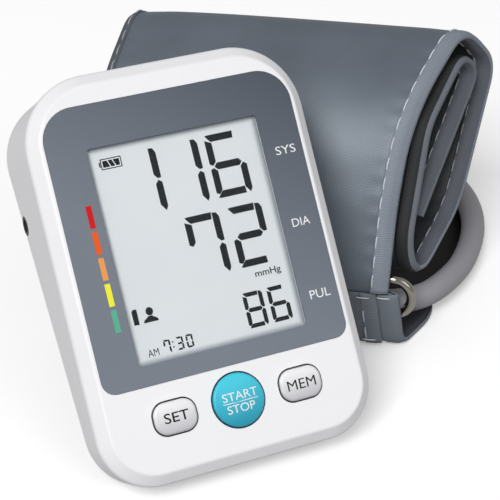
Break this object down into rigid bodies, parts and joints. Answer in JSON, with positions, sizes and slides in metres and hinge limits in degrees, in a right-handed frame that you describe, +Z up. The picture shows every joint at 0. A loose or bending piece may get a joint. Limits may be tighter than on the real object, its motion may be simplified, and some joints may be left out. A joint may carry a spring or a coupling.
{
  "type": "blood pressure monitor",
  "caption": "Upper-arm blood pressure monitor with a large sloping display and press buttons, leaning on its rolled cloth cuff with a bar ring and air hose.",
  "frame": {"origin": "on the table, under the middle of the box round the monitor and cuff without the hose", "axes": "+X to the monitor's right, +Y from its face to its back, +Z up"},
  "size_m": [0.2221, 0.223, 0.1248],
  "materials": {
    "case_white": "smooth, lightly glossy white moulding",
    "panel_grey": "satin slate-grey panel",
    "clear_window": "clear acrylic",
    "display_pale": "pale grey liquid crystal display",
    "silver_film": "silver film",
    "inner_plastic": "plain moulding",
    "contact_rubber": "dark silicone",
    "board_green": "green board",
    "steel": "plain steel",
    "dark_plastic": "dark moulding",
    "soft_tube": "milky soft tube",
    "foot_rubber": "soft rubber",
    "cell_sleeve": "plain printed sleeve",
    "button_teal": "glossy blue-green cap",
    "button_white": "glossy white cap",
    "cuff_cloth": "woven nylon with a sheen",
    "flap_cloth": "woven nylon, darker side",
    "bladder_rubber": "thin rubber",
    "ring_chrome": "polished chrome",
    "hose_grey": "satin grey hose"
  },
  "bodies": {
    "monitor": {"top_housing": "case_white", "bottom_housing": "case_white", "front_panel": "panel_grey", "display_lens": "clear_window", "lcd_glass": "display_pale", "lcd_reflector": "silver_film", "lcd_holder": "inner_plastic", "zebra_strips": "contact_rubber", "main_board": "board_green", "board_screws": "steel", "tact_switches": "dark_plastic", "control_chips": "dark_plastic", "buzzer": "dark_plastic", "pressure_sensor": "dark_plastic", "pump_motor": "steel", "pump_head": "inner_plastic", "exhaust_valve": "inner_plastic", "air_manifold": "inner_plastic", "air_tubes": "soft_tube", "air_socket": "dark_plastic", "dc_jack": "dark_plastic", "case_screws": "steel", "rubber_feet": "foot_rubber", "aa_batteries": "cell_sleeve", "battery_contacts": "steel"},
    "start_button": {"start_button": "button_teal"},
    "set_button": {"set_button": "button_white"},
    "memory_button": {"memory_button": "button_white"},
    "battery_cover": {"battery_cover": "case_white"},
    "cuff": {"cuff_wrap": "cuff_cloth", "cuff_bladder": "bladder_rubber", "cuff_flap": "flap_cloth", "hose_fitting": "dark_plastic", "air_hose": "hose_grey", "air_hose_coil": "hose_grey", "hose_plug": "dark_plastic", "hose_tie": "contact_rubber"},
    "d_ring": {"d_ring": "ring_chrome"}
  },
  "joints": [
    {"name": "start_press", "type": "slide", "parent": "monitor", "child": "start_button", "axis": [0, 0.807, -0.5906], "range_m": [0, 0.001], "stiffness_N_per_m": 1500},
    {"name": "set_press", "type": "slide", "parent": "monitor", "child": "set_button", "axis": [0, 0.807, -0.5906], "range_m": [0, 0.001], "stiffness_N_per_m": 1500},
    {"name": "memory_press", "type": "slide", "parent": "monitor", "child": "memory_button", "axis": [0, 0.807, -0.5906], "range_m": [0, 0.001], "stiffness_N_per_m": 1500},
    {"name": "battery_cover_lift", "type": "slide", "parent": "monitor", "child": "battery_cover", "axis": [0, 0.6921, -0.7218], "range_m": [0, 0.004]},
    {"name": "cuff_pull", "type": "slide", "parent": "monitor", "child": "cuff", "axis": [0.5563, 0.831, 0], "range_m": [0, 0.12]},
    {"name": "d_ring_swing", "type": "hinge", "parent": "cuff", "child": "d_ring", "pos_m": [-0.0141, 0.00206, 0.012], "axis": [-0.831, 0.5563, 0], "range_deg": [0, 10]}
  ]
}
